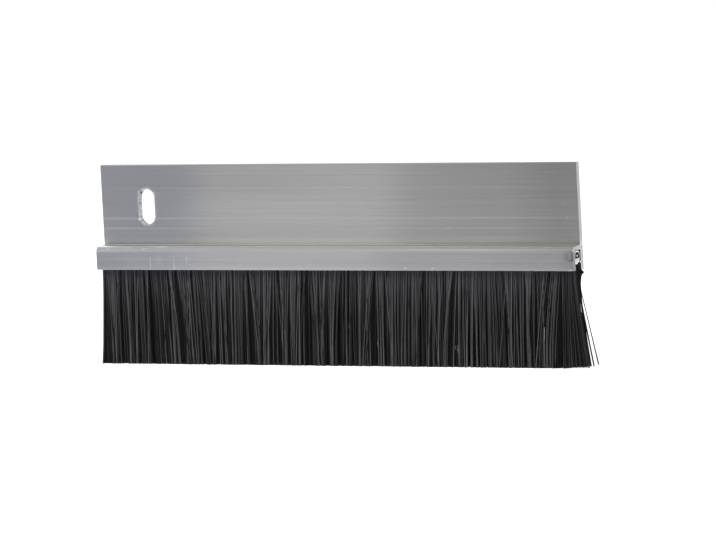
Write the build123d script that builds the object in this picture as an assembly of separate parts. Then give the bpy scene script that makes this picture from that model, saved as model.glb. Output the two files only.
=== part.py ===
from build123d import *
import os

# Brush seal strip: an extruded aluminium carrier that holds a metal-backed strip brush.
#
# Sizes are in millimetres. X runs along the strip, Z is up and the brush hangs below.
# The back of the carrier lies in the plane Y = 0, and its front faces -Y.
# The origin is the middle of the fixing slot on the back of the carrier.

# Overall
strip_length = 155.0    # length of the carrier between its saw-cut ends
trim_length = 27.1      # bristle below the carrier

# Strip brush: a rolled steel channel, filaments folded round a core wire
backing_width = 2.8
backing_height = 2.7
sheet_thickness = 0.4
crown_radius = 0.9      # outer radius of the channel's two folds
pinch_height = 0.6      # height over which the legs are pressed in
pinch_depth = 0.25      # how far each leg is pressed in
wire_diameter = 0.6
tip_thickness = 3.2     # front to back across the trimmed tips
end_fan = 1.6           # how far the tips spread past the carrier at each cut end
fan_drop = 3.0          # from the carrier's bottom edge down to where they start to spread
fold_gap = 0.05         # between the folded filaments and the channel
wire_gap = 0.02         # between the core wire and the filaments round it
brush_inset = 0.2       # channel and wire stop this far short of the carrier's ends
bristle_inset = 0.45    # the bristle body stops this far short, behind the last filaments

# Carrier: a flat flange above a groove that takes the strip brush
plate_thickness = 1.5
flange_height = 22.9    # from the top of the groove's roof to the top edge
lip_thickness = 1.5
roof_thickness = 1.1
side_gap = 0.15         # between the backing channel and each side of the groove
top_gap = 0.25          # between the backing channel and the roof
seat_gap = 0.05         # between the backing channel and the ribs that carry it
rib_height = 0.7
rib_depth = 0.7
mouth_height = 1.9      # from the ribs down to the carrier's bottom edge
shoulder_radius = 1.5
edge_radius = 0.4       # long edges of the flange
hem_radius = 0.2        # bottom edges of the flange and the lip
groove_radius = 0.3     # inner corners of the groove
root_radius = 0.2       # where the roof meets the flange

# Fixing slots, punched upright through the flange
slot_width = 5.0
slot_height = 10.0
slot_drop = 12.0        # from the top edge to the middle of the slot
slot_inset = 15.0       # from the left end to the middle of the first slot
slot_pitch = 200.0      # to the next slot on a longer strip
slot_rim = 0.2          # rounding that the punch leaves on the front

# Crimp that pinches the lip on the brush at the right end
crimp_radius = 1.2
crimp_depth = 0.5
crimp_height = 2.6
crimp_inset = 0.45      # from the right end to the middle of the crimp
crimp_rounding = 0.4

# Stray filaments at the right end, that lean out past the rest
filament_diameter = 0.25
stray_gap = 0.03        # between the strays and the bristle body behind them
stray_start = 0.5       # from the core wire down to where the strays start
stray_turn = 25.0       # radius of the turn where they start to lean
stray_places = (        # lean in degrees, place across Y, how much shorter than the rest
    (9.6, -0.35, 0.4),
    (12.0, 0.35, 0.7),
)

# Places that follow from the sizes above
left_end = -slot_inset
right_end = left_end + strip_length
groove_width = backing_width + 2 * side_gap
groove_y = -plate_thickness - groove_width / 2
carrier_depth = plate_thickness + groove_width + lip_thickness
top_edge = slot_drop
channel_top = top_edge - flange_height
groove_top = channel_top - roof_thickness
rib_top = groove_top - top_gap - backing_height - seat_gap
rib_bottom = rib_top - rib_height
bottom_edge = rib_bottom - mouth_height
fan_z = bottom_edge - fan_drop
backing_top = groove_top - top_gap
backing_bottom = backing_top - backing_height
tip_z = bottom_edge - trim_length
layer = (backing_width - wire_diameter) / 2 - sheet_thickness - fold_gap
wire_z = backing_top - sheet_thickness - fold_gap - layer - wire_diameter / 2


def block(y_low, y_high, z_low, z_high):
    """A rectangle of a cross-section, given by its limits in Y and Z."""
    middle = ((y_low + y_high) / 2, (z_low + z_high) / 2)
    return Pos(*middle) * Rectangle(y_high - y_low, z_high - z_low)


def round_corner(section, y, z, radius):
    """Round the corner of a cross-section that lies nearest to the point given."""
    corner = section.vertices().sort_by_distance((y, z, 0))[0]
    return fillet(corner, radius)


def along_strip(section, start, end):
    """Run a cross-section along X from start to end."""
    return Pos(start, 0, 0) * extrude(Plane.YZ * section, amount=end - start)


def carrier_section():
    """The extrusion: a flange with a groove on the lower front, necked by two ribs."""
    inner_y = -plate_thickness - groove_width
    section = block(-plate_thickness, 0, bottom_edge, top_edge)
    section += block(-carrier_depth, 0, bottom_edge, channel_top)
    section -= block(inner_y, -plate_thickness, bottom_edge, groove_top)
    section += block(inner_y, inner_y + rib_depth, rib_bottom, rib_top)
    section += block(-plate_thickness - rib_depth, -plate_thickness, rib_bottom, rib_top)

    section = round_corner(section, -carrier_depth, channel_top, shoulder_radius)
    section = round_corner(section, -plate_thickness, channel_top, root_radius)
    for y in (-plate_thickness, 0):
        section = round_corner(section, y, top_edge, edge_radius)
    for y in (-carrier_depth, 0):
        section = round_corner(section, y, bottom_edge, hem_radius)
    for y in (inner_y, -plate_thickness):
        section = round_corner(section, y, groove_top, groove_radius)
    for y in (inner_y + rib_depth, -plate_thickness - rib_depth):
        for z in (rib_top, rib_bottom):
            section = round_corner(section, y, z, min(rib_depth, rib_height) / 2.2)
    return section


def slot_places():
    """X of each fixing slot: the first by the left end, the rest as the length allows."""
    room = strip_length - 2 * slot_inset
    count = 1 + int(room // slot_pitch)
    return [i * slot_pitch for i in range(count)]


def crimp_bar(crest_y):
    """An upright bar with rounded ends, whose round side reaches back to crest_y."""
    bar = Cylinder(crimp_radius, crimp_height)
    bar = fillet(bar.edges().filter_by(GeomType.CIRCLE), crimp_rounding)
    middle_z = (backing_top + backing_bottom) / 2
    return Pos(right_end - crimp_inset, crest_y - crimp_radius, middle_z) * bar


def carrier():
    body = along_strip(carrier_section(), left_end, right_end)
    for x in slot_places():
        slot = SlotOverall(slot_height, slot_width, rotation=90)
        cutter = extrude(Plane.XZ * slot, amount=plate_thickness, both=True)
        body -= Pos(x, 0, 0) * cutter
        rim = body.edges().filter_by(Axis.Y, reverse=True)
        rim = rim.filter_by_position(Axis.Y, -plate_thickness, -plate_thickness)
        rim = rim.filter_by_position(Axis.X, x - slot_width, x + slot_width)
        body = fillet(rim, slot_rim)

    # The crimp dents the front of the lip, and the metal behind it closes the side gap.
    inner_y = -plate_thickness - groove_width
    pinch = crimp_bar(inner_y + side_gap)
    pinch &= Pos(right_end, inner_y, 0) * Box(
        2 * strip_length, 2 * side_gap, 2 * flange_height,
        align=(Align.MAX, Align.CENTER, Align.CENTER),
    )
    body += pinch
    body -= crimp_bar(-carrier_depth + crimp_depth)
    return body


def channel_outline(width, mouth, top, bend, bottom, radius):
    """A flat-topped channel with rounded folds, whose legs close in to the mouth."""
    points = [
        (-width / 2, top), (width / 2, top), (width / 2, bend),
        (mouth / 2, bottom), (-mouth / 2, bottom), (-width / 2, bend),
    ]
    outline = make_face(Polyline(*points, close=True))
    for side in (-1, 1):
        outline = round_corner(outline, side * width / 2, top, radius)
    return Pos(groove_y, 0) * outline


def backing_channel():
    """Steel strip, rolled to a channel and pressed on to the filaments."""
    mouth = backing_width - 2 * pinch_depth
    bend = backing_bottom + pinch_height
    outer = channel_outline(
        backing_width, mouth, backing_top, bend, backing_bottom, crown_radius
    )
    inner = channel_outline(
        backing_width - 2 * sheet_thickness, mouth - 2 * sheet_thickness,
        backing_top - sheet_thickness, bend, backing_bottom, crown_radius - sheet_thickness,
    )
    return along_strip(outer - inner, left_end + brush_inset, right_end - brush_inset)


def core_wire():
    """The wire that the filaments are folded round, as long as the backing channel."""
    section = Pos(groove_y, wire_z) * Circle(wire_diameter / 2)
    return along_strip(section, left_end + brush_inset, right_end - brush_inset)


def bristles():
    """All the filaments as one soft body, folded over the wire and trimmed level."""
    inset = sheet_thickness + fold_gap
    fold = channel_outline(
        backing_width - 2 * inset, backing_width - 2 * pinch_depth - 2 * inset,
        backing_top - inset, backing_bottom + pinch_height, backing_bottom,
        crown_radius - inset,
    )
    throat = backing_width - 2 * pinch_depth - 2 * inset
    pile = make_face(Polyline(
        (-throat / 2, backing_bottom), (throat / 2, backing_bottom),
        (tip_thickness / 2, tip_z), (-tip_thickness / 2, tip_z), close=True,
    ))
    hole = Pos(groove_y, wire_z) * Circle(wire_diameter / 2 + wire_gap)
    section = fold + Pos(groove_y, 0) * pile - hole
    whole = along_strip(section, left_end - end_fan, right_end + end_fan)

    # Seen from the front, the ends are upright as far as fan_z and spread below it.
    left = left_end + bristle_inset
    right = right_end - bristle_inset
    front = make_face(Polyline(
        (left, backing_top), (right, backing_top), (right, fan_z),
        (right_end + end_fan, tip_z), (left_end - end_fan, tip_z), (left, fan_z),
        close=True,
    ))
    return whole & extrude(Plane.XZ * front, amount=carrier_depth * 2, both=True)


def stray_filaments():
    """Single filaments at the right end that lean out past the rest."""
    start_x = right_end - bristle_inset + stray_gap + filament_diameter / 2
    start_z = wire_z - wire_diameter / 2 - stray_start
    strays = []
    for lean, across, short in stray_places:
        turn = Vector(start_x, groove_y + across, fan_z)
        free_length = turn.Z - tip_z - short
        tip = turn + Vector(0, 0, -free_length).rotate(Axis.Y, -lean)
        path = FilletPolyline((turn.X, turn.Y, start_z), turn, tip, radius=stray_turn)
        start = Plane(path @ 0, z_dir=path % 0)
        strays.append(sweep(start * Circle(filament_diameter / 2), path=path))
    return Compound(strays)


pieces = {
    "carrier": carrier,
    "backing_channel": backing_channel,
    "core_wire": core_wire,
    "bristles": bristles,
    "stray_filaments": stray_filaments,
}

os.makedirs("parts", exist_ok=True)
for name, make in pieces.items():
    export_step(make(), f"parts/{name}.step")
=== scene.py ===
import math

import bpy
import numpy as np
from mathutils import Matrix, Vector


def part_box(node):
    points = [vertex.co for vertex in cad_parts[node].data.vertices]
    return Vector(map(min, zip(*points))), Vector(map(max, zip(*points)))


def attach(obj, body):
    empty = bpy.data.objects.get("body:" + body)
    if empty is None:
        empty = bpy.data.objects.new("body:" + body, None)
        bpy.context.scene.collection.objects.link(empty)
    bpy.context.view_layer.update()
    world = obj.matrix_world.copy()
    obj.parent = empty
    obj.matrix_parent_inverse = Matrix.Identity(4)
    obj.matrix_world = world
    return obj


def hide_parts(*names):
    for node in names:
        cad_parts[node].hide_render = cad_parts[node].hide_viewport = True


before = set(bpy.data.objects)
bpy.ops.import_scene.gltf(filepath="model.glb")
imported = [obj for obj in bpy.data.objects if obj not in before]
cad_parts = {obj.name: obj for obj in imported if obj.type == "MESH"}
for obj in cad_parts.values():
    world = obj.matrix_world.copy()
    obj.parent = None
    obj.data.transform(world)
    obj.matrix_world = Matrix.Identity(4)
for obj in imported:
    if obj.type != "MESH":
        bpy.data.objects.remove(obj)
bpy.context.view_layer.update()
mm = 0.001

# The carrier
# One aluminium extrusion in mill finish: a flat flange above a groove for the brush. The die
# leaves fine lines along it. The slot is punched through it, and the two ends are sawn.
carrier_low, carrier_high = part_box("carrier")
left_end, right_end = carrier_low[0], carrier_high[0]
carrier_bottom, carrier_top = carrier_low[2], carrier_high[2]
lip_front = carrier_low[1]
lip_thickness = 1.5 * mm
shoulder_bottom = -12.4 * mm    # where the rounded shoulder meets the flat front of the lip
roof_back = -3.0 * mm
roof_front = -4.8 * mm
slot_radius = 2.5 * mm
slot_straight = 2.5 * mm        # half the straight part between the slot's two round ends
slot_burr = 0.75 * mm           # how far round the slot the punch has torn the metal
slot_wall = 0.02 * mm           # nearer to the slot than this is its wall
fleck_size = 0.7 * mm
saw_zone = 0.5 * mm             # the sawn faces lie this near the ends
dark_metal = (0.269, 0.269, 0.271)
pale_metal = (0.331, 0.331, 0.330)
sawn_light_gain = 0.45                # how much paler the sawn ends are at the back, as painted light
cut_lip_painted_shade = 0.35             # and how much darker they are where the lip was cut, as painted shade
# Painted light on the groove's roof, brighter away from its corner
roof_painted_light = 1.2
mark_sharpness = 3.0            # how quickly a mark ends at its top and bottom

# A face is a sawn end where its normal has more than this of X, the groove's roof where it
# has more than this of Z, and the back where it has more than this of Y.
end_facing, roof_facing, back_facing = 0.95, 0.85, 0.5


def new_material(name):
    """An empty node material, its node tree, and where its surface goes in."""
    material = bpy.data.materials.new(name)
    material.use_nodes = True
    tree = material.node_tree
    tree.nodes.clear()
    return material, tree, tree.nodes.new("ShaderNodeOutputMaterial").inputs["Surface"]


def add_node(tree, kind, inputs, **settings):
    """A node of that kind. Each input named is given a value, or a link from another node."""
    node = tree.nodes.new("ShaderNode" + kind)
    for setting, value in settings.items():
        setattr(node, setting, value)
    for name, given in inputs.items():
        if isinstance(given, bpy.types.NodeSocket):
            tree.links.new(given, node.inputs[name])
        else:
            node.inputs[name].default_value = given
    return node


def calculate(tree, kind, first, second=0.0):
    """A sum of that kind on one or two numbers or links."""
    return add_node(tree, "Math", {0: first, 1: second}, operation=kind).outputs[0]


def times(tree, first, second):
    """The two multiplied."""
    return calculate(tree, "MULTIPLY", first, second)


def plus(tree, first, second):
    """The two added up."""
    return calculate(tree, "ADD", first, second)


def above(tree, value, level, gain=1.0):
    """How far the value lies above the level, times the gain."""
    return times(tree, calculate(tree, "SUBTRACT", value, level), gain)


def near(tree, value, middle, half):
    """1 where the value is the middle, falling to 0 at half on each side of it."""
    away = calculate(tree, "ABSOLUTE", above(tree, value, middle))
    away = calculate(tree, "DIVIDE", away, half)
    return calculate(tree, "MAXIMUM", calculate(tree, "SUBTRACT", 1.0, away), 0.0)


def apart(tree, vector):
    """The X, Y and Z of a vector."""
    return list(add_node(tree, "SeparateXYZ", {"Vector": vector}).outputs)


def on_piece(tree):
    """The place on the piece itself, in metres."""
    return tree.nodes.new("ShaderNodeTexCoord").outputs["Object"]


def rise(tree, value, start, end, low=0.0, high=1.0):
    """From low to high as the value goes from start to end, and level outside them."""
    return add_node(tree, "MapRange", {
        "Value": value, "From Min": start, "From Max": end, "To Min": low, "To Max": high,
    }).outputs["Result"]


def cells(tree, place, size, detail=2.0, roughness=0.5):
    """Noise in cells of that size along X, Y and Z."""
    stretched = add_node(tree, "Mapping", {
        "Vector": place, "Scale": tuple(1 / length for length in size),
    }).outputs["Vector"]
    return add_node(tree, "TexNoise", {
        "Vector": stretched, "Scale": 1.0, "Detail": detail, "Roughness": roughness,
    }).outputs["Fac"]


def ramp(tree, value, stops):
    """The colour at that value on a ramp through (position, colour) stops."""
    node = add_node(tree, "ValToRGB", {"Fac": value})
    elements = node.color_ramp.elements
    while len(elements) < len(stops):
        elements.new(0.5)
    for element, (position, colour) in zip(elements, stops):
        element.position = position
        element.color = (*colour, 1.0)
    return node.outputs["Color"]


# Lines that the die draws along the strip: their length and width in mm, how much finer ones
# they hold, and their share of the tone.
die_lines = ((300.0, 0.3, 3.0, 0.45), (160.0, 2.2, 3.0, 0.3), (25.0, 0.22, 2.0, 0.25))

# How bright the metal is at each height: Z in mm, factor. The flange has raised lines from the
# die. The brighter corner is a painted reflection, and the brighter shoulder and lip's bottom edge
# are painted highlights.
flange_bands = (
    (12.0, 0.96), (9.9, 0.97), (9.5, 1.03), (9.1, 0.97), (5.6, 0.97), (5.3, 1.06), (5.0, 0.97),
    (0.0, 0.97), (-1.0, 1.01), (-3.05, 1.01), (-3.35, 1.04), (-3.65, 1.0), (-5.84, 0.98),
    (-6.14, 1.03), (-6.44, 0.98), (-8.3, 1.0),
)
corner_reflection_bands = (
    (-9.2, 1.07), (-10.2, 1.25), (-10.8, 1.4), (-11.0, 1.06), (-11.4, 1.03), (-11.6, 0.96),
)
lip_highlight_bands = (
    (-11.85, 1.18), (-12.3, 1.25), (-12.5, 1.03), (-16.9, 1.06), (-17.1, 1.2), (-17.3, 1.08),
)

# Painted tint of the light: the corner is a little warmer than the flange, and the lip a little
# cooler. Factor for blue.
bands_and_light_tint = ((lip_highlight_bands, 1.03), (corner_reflection_bands, 0.95), (flange_bands, 1.0))

# Marks on the front, some of them painted highlights and shade: X and Z of the middle, half
# width and half height in mm, and strength, which is below 0 where a mark is dark.
marks = (
    # Scratches on the lip
    (3.1, -15.6, 0.3, 2.0, 0.3), (11.0, -15.6, 0.3, 1.8, 0.3), (11.1, -16.9, 0.5, 0.5, 0.3),
    (15.3, -14.5, 0.4, 1.0, 0.22), (5.9, -14.9, 1.9, 1.6, 0.1), (113.5, -15.1, 0.3, 1.4, 0.14),
    (130.1, -13.7, 0.7, 0.3, -0.14), (131.2, -13.2, 0.7, 0.3, -0.16),
    (132.4, -12.7, 0.7, 0.3, -0.14),
    # Knocks on the lip's bottom edge
    (86.8, -16.9, 0.5, 0.3, 0.4), (95.6, -16.9, 0.6, 0.3, 0.4), (139.0, -17.4, 1.0, 0.3, 0.5),
    # Knocks on the shoulder
    (-11.3, -11.6, 0.5, 0.25, 0.4), (-4.4, -11.3, 0.3, 0.2, 0.7), (0.9, -11.6, 0.6, 0.25, 0.35),
    (131.6, -11.2, 0.5, 0.3, 0.4),
    # Torn metal round the slot, with painted highlights and shade on its rim
    (2.7, 3.5, 0.6, 0.9, 0.4), (0.8, 5.4, 1.2, 0.35, 0.2), (-1.9, 4.0, 0.6, 0.4, -1.1),
    (-2.6, 4.3, 0.4, 0.4, 0.8), (-3.44, -2.6, 0.2, 0.25, -0.3), (-2.75, -3.6, 0.45, 0.45, 1.1),
    (4.1, 3.4, 0.25, 0.4, 0.4), (-2.4, 3.1, 0.3, 0.4, -0.25),
    # Small blemishes on the flange
    (115.3, 4.9, 0.5, 0.4, 0.25), (124.4, 10.0, 0.35, 0.35, 0.25), (116.1, 0.0, 0.3, 0.6, 0.2),
    (135.3, 0.4, 0.45, 0.4, 0.25), (136.4, -3.3, 0.4, 0.8, 0.25), (77.6, -6.0, 0.4, 0.35, 0.2),
    (98.5, -6.3, 0.6, 0.35, 0.2),
    # Raised lines, brighter towards the two ends
    (-8.0, -3.35, 34.0, 0.3, 0.2), (-8.0, -6.14, 34.0, 0.3, 0.2), (112.0, -3.35, 45.0, 0.3, 0.1),
    (112.0, -6.14, 45.0, 0.3, 0.1),
    # Painted highlight on the shoulder, brighter towards the two ends
    (-15.0, -12.15, 45.0, 0.4, 0.36), (112.0, -12.0, 32.0, 0.6, 0.24),
    # Painted shade on the lip round the crimp's dent
    (141.0, -15.4, 6.0, 3.0, -0.18), (139.8, -13.5, 2.9, 1.6, -0.42),
    # Broad brighter and darker patches
    (-15.0, -15.0, 12.0, 2.6, -0.1), (35.0, 10.5, 50.0, 8.0, -0.1), (134.0, 2.0, 16.0, 14.0, -0.13),
    (-2.0, -2.0, 20.0, 5.0, -0.07), (108.0, -14.9, 26.0, 2.4, 0.08), (112.0, -9.3, 26.0, 1.2, 0.09),
)


def drawn_lines(tree, place):
    """The die's lines together, and the finest kind alone."""
    kinds, together = [], 0.0
    for along, across, detail, share in die_lines:
        size = (along * mm, across * mm, across * mm)
        kinds.append(cells(tree, place, size, detail, roughness=0.6))
        together = plus(tree, times(tree, kinds[-1], share), together)
    return together, kinds[0]


def die_bands_and_highlights(tree, z):
    """The die's bands with the painted reflection and highlights, from the lip's bottom edge to the
    top of the flange.
    """
    stops = []
    for heights, blue in bands_and_light_tint:
        for height, factor in heights[::-1]:
            position = (height * mm - carrier_bottom) / (carrier_top - carrier_bottom)
            stops.append((position, (factor, factor, factor * blue)))
    return ramp(tree, rise(tree, z, carrier_bottom, carrier_top), stops)


def torn_slot_highlight(tree, place, x, z):
    """Painted highlight on the metal that the punch tore, round the slot and on its wall: how much
    brighter it is.
    """
    beyond = calculate(tree, "MAXIMUM", above(
        tree, calculate(tree, "ABSOLUTE", z), slot_straight), 0.0)
    away = calculate(tree, "SQRT", plus(tree, times(tree, x, x), times(tree, beyond, beyond)))
    outside = above(tree, away, slot_radius)
    flecks = add_node(tree, "TexNoise", {
        "Vector": place, "Scale": 1 / fleck_size, "Detail": 2.0,
    }).outputs["Fac"]
    burr_highlight = times(tree, near(tree, outside, 0.0, slot_burr), above(tree, flecks, 0.12, gain=2.0))
    wall = times(
        tree, calculate(tree, "LESS_THAN", outside, slot_wall),
        above(tree, flecks, 0.68, gain=2.2),
    )
    return plus(tree, burr_highlight, wall)


def marked(tree, x, z):
    """All the marks together. Each fades out along X, and quickly at its top and bottom."""
    together = 0.0
    for middle_x, middle_z, half_width, half_height, strength in marks:
        along = near(tree, x, middle_x * mm, half_width * mm)
        up = near(tree, z, middle_z * mm, half_height * mm)
        up = calculate(tree, "MINIMUM", times(tree, up, mark_sharpness), 1.0)
        mark = times(tree, times(tree, along, up), strength)
        together = plus(tree, mark, together)
    return together


def mill_aluminium():
    """Bright drawn metal, with the die's bands and the marks that it has from its making, and
    painted highlights, reflection and shade on its shoulder, corner, roof, slot, crimp and sawn
    ends.
    """
    material, tree, surface = new_material("mill_aluminium")
    place = on_piece(tree)
    x, y, z = apart(tree, place)
    geometry = tree.nodes.new("ShaderNodeNewGeometry")
    facing_x, facing_y, facing_z = apart(tree, geometry.outputs["Normal"])

    # No mark on the front runs on over the sawn ends or shows on the back.
    from_middle = calculate(tree, "ABSOLUTE", above(tree, x, (left_end + right_end) / 2))
    sawn = times(
        tree, calculate(tree, "GREATER_THAN", calculate(tree, "ABSOLUTE", facing_x), end_facing),
        calculate(tree, "GREATER_THAN", from_middle, (right_end - left_end) / 2 - saw_zone),
    )
    front = calculate(tree, "LESS_THAN", facing_y, back_facing)
    unsawn = times(tree, front, calculate(tree, "SUBTRACT", 1.0, sawn))
    gain = plus(tree, torn_slot_highlight(tree, place, x, z), times(tree, marked(tree, x, z), unsawn))

    # Painted light and shade on the sawn ends: paler towards the back, and darker where the lip was
    # cut.
    sawn_light = rise(tree, y, lip_front, lip_front / 2, high=sawn_light_gain)
    lip = times(
        tree, calculate(tree, "LESS_THAN", y, lip_front + lip_thickness),
        calculate(tree, "LESS_THAN", z, shoulder_bottom),
    )
    sawn_light = calculate(tree, "SUBTRACT", sawn_light, times(tree, lip, cut_lip_painted_shade))
    gain = plus(tree, gain, times(tree, sawn, sawn_light))

    # Painted light on the groove's roof: brighter away from the shaded corner.
    roof = calculate(tree, "GREATER_THAN", facing_z, roof_facing)
    roof_light = rise(tree, y, roof_back, roof_front, high=roof_painted_light)
    gain = plus(tree, gain, times(tree, roof, roof_light))

    # The back of the flange lay on a plain part of the die, and gets neither the bands nor their
    # painted highlights.
    lines, fine = drawn_lines(tree, place)
    colour = ramp(tree, lines, ((0.32, dark_metal), (0.68, pale_metal)))
    banding = add_node(tree, "Mix", {
        "Factor": front, "A": (1, 1, 1, 1), "B": die_bands_and_highlights(tree, z),
    }, data_type="RGBA")
    banded = add_node(tree, "VectorMath", {
        0: colour, 1: banding.outputs["Result"],
    }, operation="MULTIPLY")
    shaded = add_node(tree, "VectorMath", {
        0: banded.outputs["Vector"], "Scale": plus(tree, gain, 1.0),
    }, operation="SCALE")

    grain = add_node(tree, "CombineXYZ", {"X": 1.0})
    felt = add_node(tree, "Bump", {"Height": fine, "Strength": 0.2, "Distance": 0.02 * mm})
    shader = add_node(tree, "BsdfPrincipled", {
        "Base Color": shaded.outputs["Vector"], "Metallic": 1.0, "Roughness": 0.24,
        "Anisotropic": 1.0, "Anisotropic Rotation": 0.25, "Tangent": grain.outputs["Vector"],
        "Normal": felt.outputs["Normal"],
    })
    tree.links.new(shader.outputs["BSDF"], surface)
    return material


def finish_node(name, material):
    """Gives a CAD node its material."""
    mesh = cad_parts[name].data
    mesh.materials.clear()
    mesh.materials.append(material)


finish_node("carrier", mill_aluminium())

# The backing channel and the core wire
# Zinc-coated steel strip rolled to a channel, pressed on to the filaments, and the wire that
# they are folded round. Both are cut with the strip, so they show only at its ends.
channel_low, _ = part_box("backing_channel")
wire_low, wire_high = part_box("core_wire")
channel_bottom = channel_low[2]
wire_y = (wire_low[1] + wire_high[1]) / 2
wire_z = (wire_low[2] + wire_high[2]) / 2
wire_radius = (wire_high[2] - wire_low[2]) / 2
spangle_size = 0.6 * mm


def galvanised_steel():
    """Zinc-coated steel with a faint spangle."""
    material, tree, surface = new_material("galvanised_steel")
    spangle = add_node(tree, "TexNoise", {"Vector": on_piece(tree), "Scale": 1 / spangle_size})
    colour = ramp(
        tree, spangle.outputs["Fac"], ((0.35, (0.55, 0.55, 0.54)), (0.65, (0.8, 0.8, 0.78))),
    )
    shader = add_node(tree, "BsdfPrincipled", {
        "Base Color": colour, "Metallic": 1.0, "Roughness": 0.35,
    })
    tree.links.new(shader.outputs["BSDF"], surface)
    return material


zinc = galvanised_steel()
finish_node("backing_channel", zinc)
finish_node("core_wire", zinc)

# The saw's burr
# Steel of the backing channel that the saw tore and bent over its mouth at the right end. It
# stays there, folded flat against the cut.
burr_clearance = 0.02 * mm      # between the burr and the cut
burr_crown = 0.03 * mm          # how much its middle stands out past its raised ring

# Its outline and its raised ring: Y, Z and how far each point stands out from the cut, in mm.
burr_rings = (
    ((-4.75, -14.45, 0.03), (-4.15, -14.25, 0.06), (-3.50, -14.35, 0.04), (-2.85, -14.20, 0.1),
     (-2.55, -14.75, 0.05), (-2.85, -15.35, 0.12), (-3.45, -15.50, 0.05), (-3.90, -15.90, 0.1),
     (-4.80, -15.80, 0.03)),
    ((-4.40, -14.85, 0.2), (-4.00, -14.70, 0.1), (-3.55, -14.65, 0.3), (-3.15, -14.55, 0.16),
     (-3.00, -14.85, 0.3), (-3.20, -15.15, 0.18), (-3.55, -15.25, 0.34), (-3.90, -15.45, 0.2),
     (-4.40, -15.45, 0.3)),
)


def show(name, vertices, faces, material):
    """A new piece in the scene, with that mesh and material."""
    mesh = bpy.data.meshes.new(name)
    mesh.from_pydata(vertices, [], faces)
    mesh.materials.append(material)
    piece = bpy.data.objects.new(name, mesh)
    bpy.context.scene.collection.objects.link(piece)
    return piece


def saw_burr():
    """A flat back against the cut, the outline's rim, the raised ring, and a middle point."""
    outline, raised = np.array(burr_rings) * mm
    n = len(outline)
    cut = right_end + burr_clearance
    back = [(cut, y, z) for y, z, out in outline]
    rim = [(cut + out, y, z) for y, z, out in outline]
    ring = [(cut + out, y, z) for y, z, out in raised]
    y, z, out = raised.mean(axis=0)
    vertices = back + rim + ring + [(cut + out + burr_crown, y, z)]
    faces = [tuple(range(n))]
    for i in range(n):
        j = (i + 1) % n
        faces.append((j, i, n + i, n + j))
        faces.append((n + j, n + i, 2 * n + i, 2 * n + j))
        faces.append((2 * n + j, 2 * n + i, 3 * n))
    return show("saw_burr", [tuple(map(float, v)) for v in vertices], faces, zinc)


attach(saw_burr(), "root")

# The bristle
# Black nylon filaments, folded double over the core wire in three rows and trimmed level. They
# leave the carrier packed tight and part into small clumps towards their tips.
bristle_low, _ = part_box("bristles")
tip_z = bristle_low[2]
filament_diameter = 0.25 * mm
filament_radius = filament_diameter / 2
layer_depth = filament_diameter * math.sqrt(3) / 2
random = np.random.default_rng(7)

# Where the filaments bend, in mm below the backing channel. The inner ones hardly do.
bends = (0, 1.5, 2.6, 3.4, 4.3, 6.5, 11.0, 16.5, 23.0, 29.75)
few_bends = (0, 2.5, 5.6, 11.0, 17.0, 23.5, 29.75)

# The three rows, from the wire outward. Lengths are in mm. Pairs are front and back.
#   inset, pitch: from the right end to the first filament, and from each to the next
#   tips: how far before or behind the middle of the strip the tips stand
#   looseness, leaning: how far the row follows its own clumps, and the leaning clumps
#   single: how far the tips of single filaments lean
#   strong, wild: the share of clumps, and of single filaments, that lean far
#   wobble: how wavy the filaments are
#   crimped, swell: how far the crimp spreads the last ones in depth, and out of the end
#   tone, contrast, fade: how pale they are (the inner rows darker as painted shade), how much
#   that varies, and its run to the tips as painted light and shade
rows = (
    dict(name="inner_filaments", layer=0, inset=0.55, pitch=0.2, bends=few_bends,
         tips=0.45, looseness=0.04, leaning=0, single=0.03, strong=0, wild=0,
         wobble=0.2, crimped=0.3, swell=(0, 0.35),
         tone=0.002, contrast=0.3, fade=(1, 1, 1, 1, 1, 1, 1)),
    dict(name="middle_filaments", layer=1, inset=0.68, pitch=0.25, bends=bends,
         tips=0.9, looseness=0.75, leaning=0.3, single=0.1, strong=0.12, wild=0.04,
         wobble=0.7, crimped=0.95, swell=(0, 1.25),
         tone=0.008, contrast=0.9, fade=(1.4, 1.5, 0.9, 0.5, 0.4, 0.4, 0.5)),
    dict(name="outer_filaments", layer=2, inset=0.15, pitch=0.25, bends=bends,
         tips=1.35, looseness=1.0, leaning=1.0, single=0.13, strong=0.12, wild=0.07,
         wobble=1.0, crimped=1.3, swell=(0, 1.15),
         tone=0.041, contrast=1.4, fade=(1.6, 1.65, 1.2, 0.85, 0.75, 0.85, 1.1)),
)


def at_right_end(roots, start, full):
    """0 as far as start mm from the right end, and rising to 1 at full mm from it."""
    return np.clip((roots - right_end + start * mm) / ((start - full) * mm), 0, 1)


def calmer_at_right_end(roots, start, least):
    """1 as far as start mm from the right end, and falling to the least at it."""
    return np.clip((right_end - roots) / (start * mm), least, 1)


# Clumps of a row, in mm: the narrowest, the widest, and how far their tips lean.
wide_clumps = (3.0, 7.0, 0.3)
narrow_clumps = (0.25, 0.75, 0.5)
strong_lean = 1.4
strong_clear = 2                # no clump leans strongly this near the right end
held_left = 6                   # this near the left end only a share of leaning outward is kept
held_share = 0.3
gathering = (0.2, 0.85)         # how much of the way to the middle of its clump a tip goes

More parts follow.
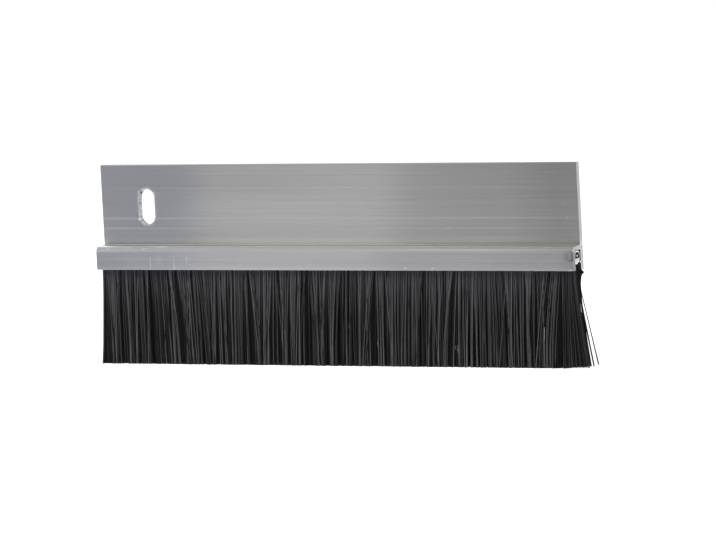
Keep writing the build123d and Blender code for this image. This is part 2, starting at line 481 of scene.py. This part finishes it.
# Clumps that lean more than the rest, in mm: X of the roots, half the width, how far the tips
# lean.
leaning_clumps = np.array([
    (-13.4, 0.7, 1.7), (-9.0, 0.5, -1.9), (-5.0, 0.5, -1.4), (1.6, 0.7, 1.6), (5.5, 0.8, 1.5),
    (10.5, 1.0, 2.6), (14.6, 0.5, -1.9), (17.5, 0.8, 2.2), (23.0, 0.5, -1.3), (34.6, 0.8, 3.0),
    (41.6, 0.6, -1.5), (54.8, 0.8, 2.5), (57.8, 0.6, 1.1), (75.0, 0.7, -2.8), (91.0, 0.6, -2.0),
    (100.8, 0.7, -2.6), (117.0, 0.7, 1.8), (123.6, 0.4, 2.0), (130.9, 0.8, -3.6),
    (133.8, 1.2, -2.4),
]) * mm

# How far the tips drift along X from place to place, mm at X in mm.
drift_places = (-15, -10, 5, 15, 30, 45, 60, 75, 90, 102, 115, 126, 134, 140)
drift = (0, 0.1, 0.5, 0.5, -0.5, -1.1, -1.4, -0.8, -1.0, -1.4, 0.1, -1.5, -0.6, 0.2)


def in_clumps(roots, narrowest, widest):
    """Parts a row into clumps. Gives each filament's clump, the way to its middle, the count."""
    edges = [left_end - widest * mm]
    while edges[-1] < right_end:
        edges.append(edges[-1] + random.uniform(narrowest, widest) * mm)
    edges = np.array(edges)
    clump = np.searchsorted(edges, roots) - 1
    return clump, (edges[clump] + edges[clump + 1]) / 2 - roots, len(edges)


def leans(roots, row, side):
    """How far the tips of one row lean along X, and how far they gather into clumps."""
    narrowest, widest, far = wide_clumps
    wide, _, count = in_clumps(roots, narrowest, widest)
    lean = random.normal(0, far, count)[wide] * mm
    narrowest, widest, far = narrow_clumps
    narrow, way, count = in_clumps(roots, narrowest, widest)
    lean += random.normal(0, far, count)[narrow] * mm
    strong = random.random(count) < row["strong"]
    strongly = (strong * random.normal(0, strong_lean, count))[narrow] * mm
    lean += np.where(roots < right_end - strong_clear * mm, strongly, 0)
    lean[(roots < left_end + held_left * mm) & (lean < 0)] *= held_share
    lean *= calmer_at_right_end(roots, start=6, least=0.3)
    if side < 0 and row["leaning"]:
        for place, half_width, far in leaning_clumps:
            lean[np.abs(roots - place) < half_width] = row["leaning"] * far
    gather = way * random.uniform(*gathering, count)[narrow]
    gather *= calmer_at_right_end(roots, start=5, least=0.4)
    drifting = np.interp(roots, np.array(drift_places) * mm, drift) * mm
    return row["looseness"] * lean + drifting, row["looseness"] * gather, narrow, count


# How the last filaments fan out past the carrier's right end: how far in mm, and the curve
# that this follows on the way down, on the front and on the back. The left end fans out less.
right_fans = ((3.8, 1.25), (2.3, 1.5))
left_fan = 1.5
fan_reach = 3.5                 # mm from each end
right_taper, left_taper = 1.3, 1.5
fan_z = carrier_bottom - 3.0 * mm


def fan_out(roots, z, right_fan):
    """Below fan_z the filaments near the two cut ends lean out past them."""
    widest, curve = right_fan
    right = at_right_end(roots, start=fan_reach, full=0) ** right_taper
    left = np.clip((left_end - roots) / (fan_reach * mm) + 1, 0, 1) ** left_taper
    far = (widest * right - left_fan * left) * mm
    return far * np.clip((fan_z - z) / (fan_z - tip_z), 0, 1) ** curve


# How single filaments differ, in mm.
wild_lean = 1.3
wild_clear = 5                  # none is wild this near the two ends
uneven_trim = 0.05
uneven_end = (0.1, 0.8)         # how much shorter the last ones at the right end are
uneven_lean = 0.1
last_leans = ((-0.1, 0.25), (-0.1, 0.0))    # their least and most, on the front and the back
freer_inward = 4.0              # more on both sides, away from the end
clump_curve = (1.0, 1.7)
gather_share = 0.3              # of the way to its clump's middle that a filament goes at once
gather_start = 0.09             # and how far down that is done
waves = (0.07, 0.04)            # a half wave and a whole wave from the channel to the tip

# How they spread in depth, in mm.
packing_gap = 0.005
crimp_gap = 0.04                # added to it by the crimp
clump_depth, single_depth = 0.1, 0.08
lean_depth = 0.06               # tips that lean far stand further out by this share
deepest_tip = 1.7
depth_curve = 1.1

# Squeezed by the crimp, the last ones bulge out of the end near the carrier's bottom.
groove_mouth = 1.9 * mm
mouth_fill = 1.5 * mm
settled_below = 12 * mm
bulge_below = 0.75 * mm
bulge_height = 0.7 * mm


def half_filaments(roots, row, side):
    """One side of a row, from the bottom of the backing channel to the tips."""
    n = len(roots)
    back = int(side > 0)
    lean, gather, clump, clumps = leans(roots, row, side)
    lean += random.normal(0, row["single"], n) * mm
    inner = (roots > left_end + wild_clear * mm) & (roots < right_end - wild_clear * mm)
    wild = inner & (random.random(n) < row["wild"])
    lean += wild * random.normal(0, wild_lean, n) * mm
    tip_height = tip_z + np.abs(random.normal(0, uneven_trim, n)) * mm
    near_end = at_right_end(roots, start=4, full=2)
    tip_height += near_end * random.uniform(*uneven_end, n) * mm
    lean += near_end * random.normal(0, uneven_lean, n) * mm
    least, most = last_leans[back]
    freer = freer_inward * (1 - near_end)
    lean = np.clip(lean, (least - freer) * mm, (most + freer) * mm)
    down = (np.array(row["bends"]) / row["bends"][-1])[None, :]
    z = channel_bottom + (tip_height - channel_bottom)[:, None] * down

    curve = random.uniform(*clump_curve, clumps)[clump][:, None]
    x = roots[:, None] + lean[:, None] * (1 - (1 - down) ** curve)
    gathered = gather_share * np.clip(down / gather_start, 0, 1) + (1 - gather_share) * down
    x += gather[:, None] * gathered
    for number, height in enumerate(waves, start=1):
        wave = row["wobble"] * random.normal(0, height, n)[:, None] * mm
        x += wave * np.sin(number * math.pi * down)
    x += fan_out(roots[:, None], z, right_fans[back])

    # In depth they spread from the channel to the width of the tips.
    last = at_right_end(roots, start=2.8, full=0.55)
    gap = (packing_gap + crimp_gap * last) * mm
    neck = filament_radius + gap + row["layer"] * layer_depth
    tip_y = row["tips"] * mm + random.normal(0, clump_depth, clumps)[clump] * mm
    tip_y += random.normal(0, single_depth, n) * mm + lean_depth * np.abs(lean)
    tip_y = np.clip(tip_y, filament_radius, deepest_tip * mm)
    y = neck[:, None] + (tip_y - neck)[:, None] * down ** depth_curve

    # By the crimp they fill the carrier's mouth and swell out of its end.
    last = last[:, None]
    in_mouth = np.clip((carrier_bottom + groove_mouth - z) / mouth_fill, 0, 1)
    settled = np.clip((carrier_bottom - z) / settled_below, 0, 1)
    spread = np.maximum(row["crimped"] * mm - y, 0)
    y += last * in_mouth * (1 - settled) * spread
    bulge = np.exp(-(((z - carrier_bottom + bulge_below) / bulge_height) ** 2))
    x += row["swell"][back] * mm * last * in_mouth * bulge
    return np.stack([x, wire_y + side * y, z], axis=2)


fold_points = 5
wire_gap = 0.02 * mm
left_inset = 0.15 * mm
root_scatter = 0.01 * mm
extra_left, extra_right = 8, 14     # filaments put in between at the ends, where they spread


def folded_row(row):
    """The centre line of each folded filament of a row, as an array of points from tip to tip."""
    first = right_end - row["inset"] * mm
    roots = np.arange(first, left_end + left_inset, -row["pitch"] * mm)[::-1]
    roots = roots + random.normal(0, root_scatter, len(roots))
    between = roots[:-1] + filament_radius
    roots = np.sort(np.concatenate([roots, between[:extra_left], between[-extra_right:]]))
    fold_radius = wire_radius + filament_radius + wire_gap + row["layer"] * layer_depth
    front = half_filaments(roots, row, -1)
    back = half_filaments(roots, row, 1)
    angle = np.linspace(0, math.pi, fold_points)
    fold = np.zeros((len(roots), fold_points, 3))
    fold[:, :, 0] = roots[:, None]
    fold[:, :, 1] = wire_y - fold_radius * np.cos(angle)
    fold[:, :, 2] = wire_z + fold_radius * np.sin(angle)
    return np.concatenate([front[:, ::-1], fold, back], axis=1)


def clear_of_strays(lines):
    """Leaves out the filaments that would run into the two stray ones at the right end."""
    strays = np.array([v.co[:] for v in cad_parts["stray_filaments"].data.vertices])
    closest = 0.95 * filament_radius
    points = np.arange(lines.shape[1])
    finer = np.linspace(0, points[-1], 300)
    keep = np.ones(len(lines), dtype=bool)
    for i in np.flatnonzero(lines[:, :, 0].max(axis=1) > strays[:, 0].min() - filament_diameter):
        line = np.stack([np.interp(finer, points, lines[i, :, axis]) for axis in range(3)], axis=1)
        gaps = np.linalg.norm(line[:, None] - strays[None], axis=2)
        keep[i] = gaps.min() > closest
    return lines[keep]


filament_sides = 6


def filament_tubes(name, lines, tones, material):
    """A closed tube round each line. The tone of each vertex, with its painted light and shade, is
    kept on the mesh.
    """
    count, points, _ = lines.shape
    ahead = np.gradient(lines, axis=1)
    ahead /= np.linalg.norm(ahead, axis=2, keepdims=True)
    sideways = np.array([1.0, 0.0, 0.0]) - ahead * ahead[:, :, :1]
    sideways /= np.linalg.norm(sideways, axis=2, keepdims=True)
    across = np.cross(ahead, sideways)
    turn = np.arange(filament_sides) * 2 * math.pi / filament_sides
    ring = (
        sideways[:, :, None, :] * np.cos(turn)[None, None, :, None]
        + across[:, :, None, :] * np.sin(turn)[None, None, :, None]
    )
    vertices = (lines[:, :, None, :] + ring * filament_radius).reshape(-1, 3)

    step = np.arange(points - 1)[:, None] * filament_sides
    around = np.arange(filament_sides)[None, :]
    following = (around + 1) % filament_sides
    walls = np.stack([
        step + around, step + following,
        step + filament_sides + following, step + filament_sides + around,
    ], axis=2).reshape(-1, 4)
    per_line = points * filament_sides
    offsets = np.arange(count)[:, None, None] * per_line
    walls = (walls[None] + offsets).reshape(-1, 4)
    start_cap = np.arange(filament_sides)[::-1]
    end_cap = per_line - filament_sides + np.arange(filament_sides)
    caps = (np.stack([start_cap, end_cap])[None] + offsets).reshape(-1, filament_sides)

    piece = show(name, vertices.tolist(), walls.tolist() + caps.tolist(), material)
    smooth = np.ones(len(piece.data.polygons), dtype=bool)
    smooth[len(walls):] = False
    piece.data.polygons.foreach_set("use_smooth", smooth)
    tone = piece.data.attributes.new("tone", "FLOAT", "POINT")
    tone.data.foreach_set("value", np.repeat(tones, filament_sides, axis=1).ravel())
    return piece


fade_places = (0, 0.1, 0.3, 0.5, 0.75, 0.92, 1)
tone_clump = 0.45 * mm          # neighbours as wide as this share part of their tone
tone_share = 0.65               # that part, beside each filament's own
palest = 1.2
top_contrast, added_painted_contrast = 0.3, 0.6     # at the channel, and more down to the tips as painted highlights and shade
end_shade_contrast, end_painted_shade = 0.4, 0.6       # how much more varied and darker the right end is, as painted shade


def row_tones(lines, row):
    """How pale each filament is at each point, with painted light and shade along it. They are
    darker at the right end, as painted shade.
    """
    root = lines[:, lines.shape[1] // 2, 0]
    clump = ((root - left_end) / tone_clump).astype(int)
    own = random.normal(0, 1.0, len(lines))
    own += random.normal(0, tone_share, clump.max() + 1)[clump]
    down = np.clip((channel_bottom - lines[:, :, 2]) / (channel_bottom - tip_z), 0, 1)
    near_end = at_right_end(root, start=9, full=3)
    own = np.minimum(own * (1 + end_shade_contrast * near_end), palest)
    contrast = row["contrast"] * (top_contrast + added_painted_contrast * down)
    tone = row["tone"] * np.exp(contrast * own[:, None])
    tone *= 1 - end_painted_shade * near_end[:, None]
    return tone * np.interp(down, fade_places, row["fade"])


def black_nylon(name, tone=None):
    """Nylon of the tone given, or else of the tone kept on the mesh, with a painted tint of the
    light along it.
    """
    material, tree, surface = new_material(name)
    place = on_piece(tree)
    if tone is None:
        kept = tree.nodes.new("ShaderNodeAttribute")
        kept.attribute_name = "tone"
        tone = kept.outputs["Fac"]
    mottle = cells(tree, place, (0.3 * mm, 0.3 * mm, 20 * mm))
    tone = times(tree, plus(tree, mottle, 0.5), tone)
    # Painted tint of the light: a little warm at the tips and bluish near the carrier.
    light_tint = ramp(tree, rise(tree, apart(tree, place)[2], tip_z, carrier_bottom), (
        (0.0, (1.02, 1.0, 0.97)), (0.5, (1.0, 1.0, 1.0)), (1.0, (0.97, 0.99, 1.12)),
    ))
    colour = add_node(tree, "VectorMath", {0: light_tint, "Scale": tone}, operation="SCALE")
    shader = add_node(tree, "BsdfPrincipled", {
        "Base Color": colour.outputs["Vector"], "Roughness": 0.45, "IOR": 1.5,
        "Specular IOR Level": 0.15,
    })
    tree.links.new(shader.outputs["BSDF"], surface)
    return material


nylon = black_nylon("black_nylon")
for row in rows:
    lines = clear_of_strays(folded_row(row))
    filaments = filament_tubes(row["name"], lines, row_tones(lines, row), nylon)
    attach(filaments, "root")
    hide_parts("bristles")

# The filaments that splay out
# Two folded nylon filaments lean out past the rest at the right end. The stray filaments are
# one end of each, and the other end lies behind or before it, at nearly the same lean.
splayed_tone = 0.008
splayed_root = right_end - 0.47 * mm
turn_radius = 25 * mm

# The other ends: lean in degrees, place across Y and how much shorter than the rest, in mm.
splayed = ((10.0, -0.62, 0.5), (12.4, 0.62, 0.9))


def splayed_lines():
    """Down from the backing channel, a soft turn at fan_z, then straight."""
    lines = []
    for lean, across, shorter in splayed:
        slope = math.tan(math.radians(lean))
        turn = turn_radius * math.tan(math.radians(lean) / 2)
        z = np.concatenate([
            [channel_bottom, fan_z + turn], fan_z - np.linspace(-0.6, 1, 5) * turn,
            np.linspace(fan_z - 2 * turn, tip_z + shorter * mm, 4),
        ])
        past = fan_z - z
        turning = (past + turn) ** 2 / (4 * turn)
        out = slope * np.where(past > turn, past, np.where(past < -turn, 0, turning))
        y = np.full(len(z), wire_y + across * mm)
        lines.append(np.stack([splayed_root + out, y, z], axis=1))
    return np.array(lines)


finish_node("stray_filaments", black_nylon("stray_nylon", splayed_tone))
lines = splayed_lines()
even_tones = np.full(lines.shape[:2], splayed_tone)
other_ends = filament_tubes("splayed_filaments", lines, even_tones, nylon)
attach(other_ends, "root")
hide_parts("bristles")

# The studio
# A white floor at the level of the tips, which keeps the strip's shadow, a soft white
# surround, large soft lamps, and grey cards that the metal reflects.
half_floor = 3.0
room_light = 0.25


def seen_white(tree):
    """1 where the camera sees it, also in metal or glass, and 0 where it lights the strip."""
    rays = tree.nodes.new("ShaderNodeLightPath").outputs
    seen = calculate(tree, "MAXIMUM", rays["Is Camera Ray"], rays["Is Glossy Ray"])
    return calculate(tree, "MAXIMUM", seen, rays["Is Transmission Ray"])


def floor_white(shade, glow):
    """Pale paint that also glows, but only as the camera and reflections see it."""
    material, tree, surface = new_material("floor_white")
    paint = add_node(tree, "BsdfDiffuse", {"Color": (shade, shade, shade, 1)})
    glowing = add_node(tree, "Emission", {
        "Strength": times(tree, seen_white(tree), glow),
    })
    both = add_node(tree, "AddShader", {
        0: paint.outputs["BSDF"], 1: glowing.outputs["Emission"],
    })
    tree.links.new(both.outputs["Shader"], surface)
    return material


floor = show(
    "floor",
    [(-half_floor, -half_floor, 0), (half_floor, -half_floor, 0),
     (half_floor, half_floor, 0), (-half_floor, half_floor, 0)],
    [(0, 1, 2, 3)], floor_white(shade=0.8, glow=0.78),
)
floor.location.z = tip_z

world = bpy.data.worlds.new("studio")
bpy.context.scene.world = world
world.use_nodes = True
around = world.node_tree
around.nodes.clear()
room = add_node(around, "Background", {"Color": (1, 1, 1, 1), "Strength": room_light})
backdrop = add_node(around, "Background", {"Color": (1, 1, 1, 1), "Strength": 1.0})
surround = add_node(around, "MixShader", {
    0: seen_white(around), 1: room.outputs["Background"], 2: backdrop.outputs["Background"],
})
around.links.new(
    surround.outputs["Shader"], around.nodes.new("ShaderNodeOutputWorld").inputs["Surface"])

strip_middle = (carrier_low + carrier_high) / 2


def soft_lamp(name, place, power):
    """A square lamp, half a metre wide, that faces the strip."""
    light = bpy.data.lights.new(name, "AREA")
    light.shape = "SQUARE"
    light.size = 0.5
    light.energy = power
    lamp = bpy.data.objects.new(name, light)
    lamp.location = place
    lamp.rotation_euler = (strip_middle - Vector(place)).to_track_quat("-Z", "Y").to_euler()
    lamp.visible_glossy = False
    bpy.context.scene.collection.objects.link(lamp)


soft_lamp("left_softbox", (-0.5, -0.7, 0.7), 8.0)
soft_lamp("right_softbox", (0.9, -0.3, 0.5), 4.0)


def grey_card(name, corners, first, last):
    """A card that only the strip's reflections show. It runs along X from first to last, and
    each of them is X, strength and colour."""
    material, tree, surface = new_material(name)
    along = rise(tree, apart(tree, on_piece(tree))[0], first[0], last[0])
    glowing = add_node(tree, "Emission", {
        "Strength": rise(tree, along, 0.0, 1.0, low=first[1], high=last[1]),
        "Color": ramp(tree, along, ((0.0, first[2]), (1.0, last[2]))),
    })
    tree.links.new(glowing.outputs["Emission"], surface)
    card = show(name, corners, [(0, 1, 2, 3)], material)
    card.visible_camera = False
    card.visible_diffuse = False
    card.visible_shadow = False


def standing_card(name, left, right, first, last):
    """A card that stands in front of the strip, from the floor to well above it."""
    y, low, high = -0.2, tip_z, tip_z + 0.18
    corners = [(left, y, low), (right, y, low), (right, y, high), (left, y, high)]
    grey_card(name, corners, first, last)


white = (1, 1, 1)
cool = (0.86, 0.91, 1.06)
standing_card("left_card", -0.8, -0.109, (-0.8, 0.75, cool), (-0.109, 0.75, cool))
standing_card("right_card", -0.036, 0.1, (-0.036, 0.8, white), (0.1, 0.3, white))
overhead = [(-0.8, -0.6, 0.35), (0.2, -0.6, 0.35), (0.2, 0.35, 0.35), (-0.8, 0.35, 0.35)]
grey_card("overhead_card", overhead, (-0.18, 1.5, white), (-0.06, 1.0, white))

# The camera
# A long lens from the right and slightly above, turned a little anticlockwise.
azimuth = math.radians(30.87)
elevation = math.radians(5.27)
roll = math.radians(2.98)
distance = 1.8936
look_at = Vector((69.68, -3.0, -17.75)) * mm
toward_camera = Vector((
    math.sin(azimuth) * math.cos(elevation),
    -math.cos(azimuth) * math.cos(elevation),
    math.sin(elevation),
))
level = Vector((math.cos(azimuth), math.sin(azimuth), 0))
upright = toward_camera.cross(level)
right = math.cos(roll) * level - math.sin(roll) * upright
up = math.sin(roll) * level + math.cos(roll) * upright
camera = bpy.data.objects.new("camera", bpy.data.cameras.new("camera"))
camera.data.sensor_width = 36.0
camera.data.lens = 340.92
camera.data.clip_start = 0.05
axes = Matrix((right, up, toward_camera)).transposed()
camera.matrix_world = Matrix.Translation(look_at + toward_camera * distance) @ axes.to_4x4()
bpy.context.scene.collection.objects.link(camera)
bpy.context.scene.camera = camera

bpy.context.scene.view_settings.view_transform = "Standard"
